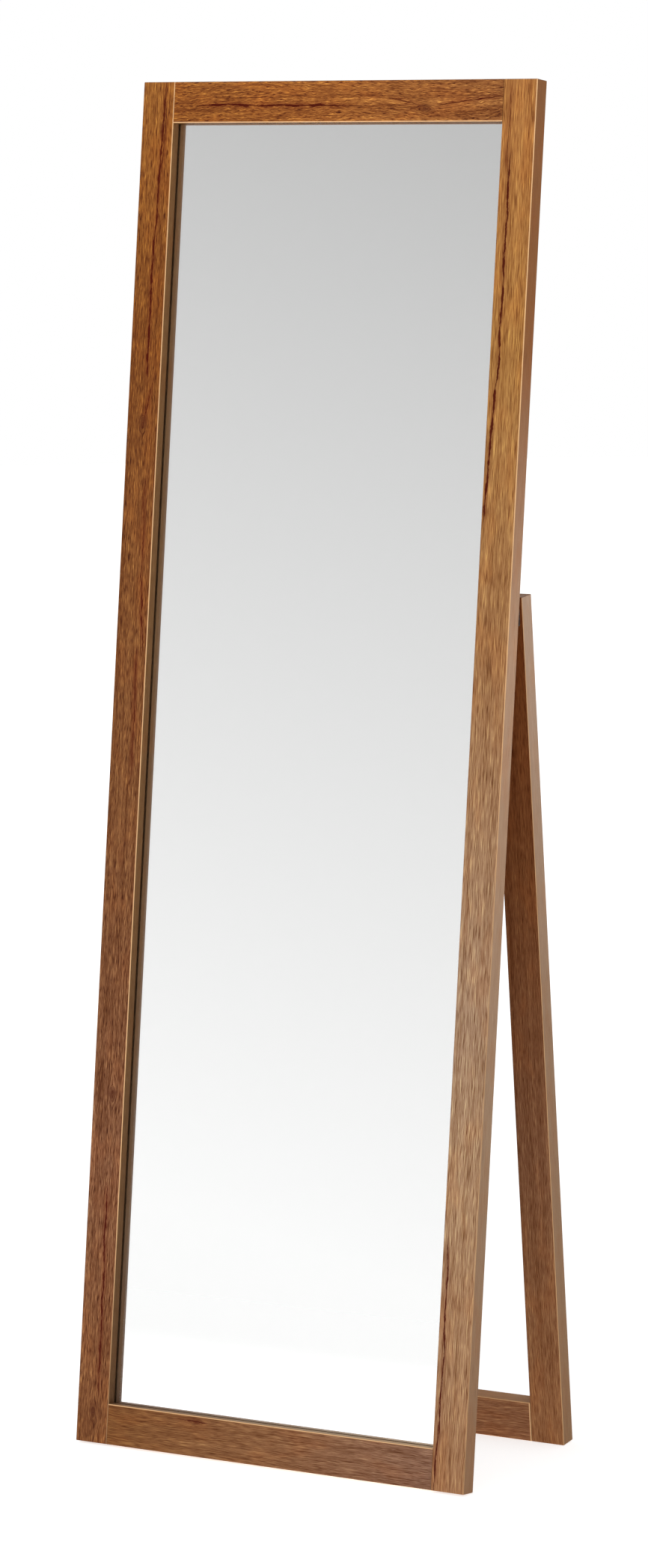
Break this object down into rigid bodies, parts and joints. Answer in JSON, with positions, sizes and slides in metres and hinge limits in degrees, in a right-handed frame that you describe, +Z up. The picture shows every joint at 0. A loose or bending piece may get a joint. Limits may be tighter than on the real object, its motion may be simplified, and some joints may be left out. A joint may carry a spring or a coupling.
{
  "type": "floor mirror",
  "caption": "Tall rectangular floor mirror in a wood-look board frame that leans back on a hinged support frame, which folds flat against its back.",
  "frame": {"origin": "on the floor, under the middle of the bounding box of the open mirror", "axes": "+X to the viewer's right when looking into the mirror, +Y to the back, +Z up"},
  "size_m": [0.5, 0.2608, 1.5297],
  "materials": {
    "wild_oak_foil": "matt printed foil with a rustic oak grain, dark cracks and knots, pale arrises",
    "silvered_glass": "clear float glass, silvered at the back",
    "hardboard": "brown hardboard",
    "beech_dowel": "plain beech",
    "zinc_steel": "zinc-plated steel, satin",
    "strap_webbing": "black woven polyester webbing"
  },
  "bodies": {
    "mirror_frame": {"left_stile": "wild_oak_foil", "right_stile": "wild_oak_foil", "top_rail": "wild_oak_foil", "bottom_rail": "wild_oak_foil", "mirror_glass": "silvered_glass", "back_panel": "hardboard", "frame_dowel_bottom_left_lower": "beech_dowel", "frame_dowel_bottom_left_upper": "beech_dowel", "frame_dowel_bottom_right_lower": "beech_dowel", "frame_dowel_bottom_right_upper": "beech_dowel", "frame_dowel_top_left_lower": "beech_dowel", "frame_dowel_top_left_upper": "beech_dowel", "frame_dowel_top_right_lower": "beech_dowel", "frame_dowel_top_right_upper": "beech_dowel", "panel_clip_left_lower": "zinc_steel", "clip_screw_left_lower": "zinc_steel", "panel_clip_left_upper": "zinc_steel", "clip_screw_left_upper": "zinc_steel", "panel_clip_right_lower": "zinc_steel", "clip_screw_right_lower": "zinc_steel", "panel_clip_right_upper": "zinc_steel", "clip_screw_right_upper": "zinc_steel", "panel_clip_top_left": "zinc_steel", "clip_screw_top_left": "zinc_steel", "panel_clip_top_right": "zinc_steel", "clip_screw_top_right": "zinc_steel", "panel_clip_bottom_left": "zinc_steel", "clip_screw_bottom_left": "zinc_steel", "panel_clip_bottom_right": "zinc_steel", "clip_screw_bottom_right": "zinc_steel", "hinge_left_frame_leaf": "zinc_steel", "hinge_left_pin": "zinc_steel", "hinge_left_frame_screw_inner": "zinc_steel", "hinge_left_frame_screw_outer": "zinc_steel", "hinge_right_frame_leaf": "zinc_steel", "hinge_right_pin": "zinc_steel", "hinge_right_frame_screw_inner": "zinc_steel", "hinge_right_frame_screw_outer": "zinc_steel", "limit_strap": "strap_webbing", "strap_screw_frame": "zinc_steel"},
    "support": {"support_dowel_bottom_left_lower": "beech_dowel", "support_dowel_bottom_left_upper": "beech_dowel", "support_dowel_bottom_right_lower": "beech_dowel", "support_dowel_bottom_right_upper": "beech_dowel", "support_dowel_top_left_lower": "beech_dowel", "support_dowel_top_left_upper": "beech_dowel", "support_dowel_top_right_lower": "beech_dowel", "support_dowel_top_right_upper": "beech_dowel", "support_left_leg": "wild_oak_foil", "support_right_leg": "wild_oak_foil", "support_top_rail": "wild_oak_foil", "support_bottom_rail": "wild_oak_foil", "hinge_left_support_leaf": "zinc_steel", "hinge_left_support_screw_inner": "zinc_steel", "hinge_left_support_screw_outer": "zinc_steel", "hinge_right_support_leaf": "zinc_steel", "hinge_right_support_screw_inner": "zinc_steel", "hinge_right_support_screw_outer": "zinc_steel", "strap_screw_support": "zinc_steel"}
  },
  "joints": [
    {"name": "support_fold", "type": "hinge", "parent": "mirror_frame", "child": "support", "pos_m": [0, 0.02132, 0.96759], "axis": [-1, 0, 0], "range_deg": [0, 12.5], "deforming": ["limit_strap"]}
  ]
}
